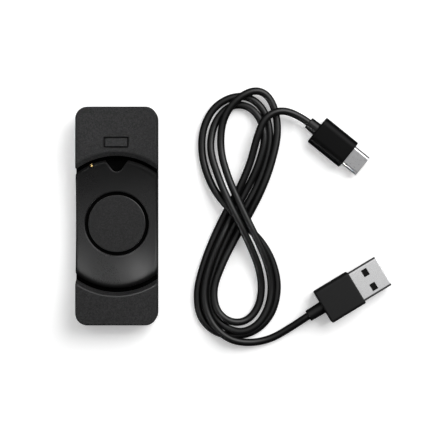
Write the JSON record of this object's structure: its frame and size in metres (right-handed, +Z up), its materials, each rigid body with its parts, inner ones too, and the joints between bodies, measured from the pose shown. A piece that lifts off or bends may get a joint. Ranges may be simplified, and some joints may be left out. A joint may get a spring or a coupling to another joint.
{
  "type": "charging dock with usb cable",
  "caption": "Flat charging dock with a round dish for a wrist tracker, spring contacts and a socket in one end, with its loose USB-A to USB-C lead beside it.",
  "frame": {"origin": "centre of the dock's outline on the surface that it stands on", "axes": "+Z up, +Y along the dock towards the end with the window and the socket, +X across the dock towards the lead"},
  "size_m": [0.1163, 0.096, 0.011],
  "materials": {
    "black_ledge_plastic": "fine spark-eroded matte black",
    "black_satin_plastic": "satin black",
    "black_pad_plastic": "fine matte black",
    "smoked_window": "fine matte, lets a light through",
    "clear_plastic": "clear light guide",
    "led_body": "moulded white",
    "foot_rubber": "matte black",
    "screw_steel": "plain",
    "board_green": "solder mask",
    "chip_black": "moulded",
    "component_tan": "fired",
    "connector_steel": "tin plated",
    "insulator_black": "moulded",
    "contact_gold": "gold plated",
    "magnet_nickel": "nickel plated",
    "sheet_steel": "zinc plated",
    "barrel_brass": "turned",
    "spring_steel": "drawn wire",
    "lead_copper": "tinned copper strip",
    "cord_pvc": "satin black",
    "c_grip_plastic": "satin black",
    "a_grip_plastic": "matte black",
    "c_shell_steel": "dull nickel",
    "a_shell_steel": "bright nickel",
    "core_white": "moulded"
  },
  "bodies": {
    "dock": {"upper_housing": "black_ledge_plastic", "cradle_insert": "black_satin_plastic", "centre_pad": "black_pad_plastic", "status_window": "smoked_window", "light_pipe": "clear_plastic", "indicator_led": "led_body", "base_cover": "black_ledge_plastic", "foot_pad": "foot_rubber", "cover_screws": "screw_steel", "board_screws": "screw_steel", "main_board": "board_green", "charge_chip": "chip_black", "board_components": "component_tan", "socket_shell": "connector_steel", "socket_tongue": "insulator_black", "socket_contacts": "contact_gold", "seat_magnet": "magnet_nickel", "shunt_plate": "sheet_steel", "ballast_plate": "sheet_steel", "rim_pin_barrel": "barrel_brass", "rim_pin_spring": "spring_steel", "lip_pin_barrel": "barrel_brass", "lip_pin_spring": "spring_steel", "contact_leads": "lead_copper"},
    "rim_contact": {"rim_pin": "contact_gold"},
    "lip_contact": {"lip_pin": "contact_gold"},
    "lead": {"cord": "cord_pvc", "usb_c_relief": "cord_pvc", "usb_c_grip": "c_grip_plastic", "usb_c_board": "board_green", "usb_c_shell": "c_shell_steel", "usb_c_insulator": "insulator_black", "usb_c_contacts": "contact_gold", "usb_a_relief": "cord_pvc", "usb_a_grip": "a_grip_plastic", "usb_a_core": "core_white", "usb_a_shell": "a_shell_steel", "usb_a_insulator": "insulator_black", "usb_a_contacts": "contact_gold"}
  },
  "joints": [
    {"name": "rim_contact_press", "type": "slide", "parent": "dock", "child": "rim_contact", "axis": [0, 0, -1], "range_m": [0, 0.0008], "stiffness_N_per_m": 400, "springref_m": -0.0005, "deforming": ["rim_pin_spring"]},
    {"name": "lip_contact_press", "type": "slide", "parent": "dock", "child": "lip_contact", "axis": [0, 1, 0], "range_m": [0, 0.0008], "stiffness_N_per_m": 400, "springref_m": -0.0005, "deforming": ["lip_pin_spring"]},
    {"name": "lead_lift", "type": "slide", "parent": "dock", "child": "lead", "axis": [0, 0, 1], "range_m": [0, 0.06]}
  ]
}
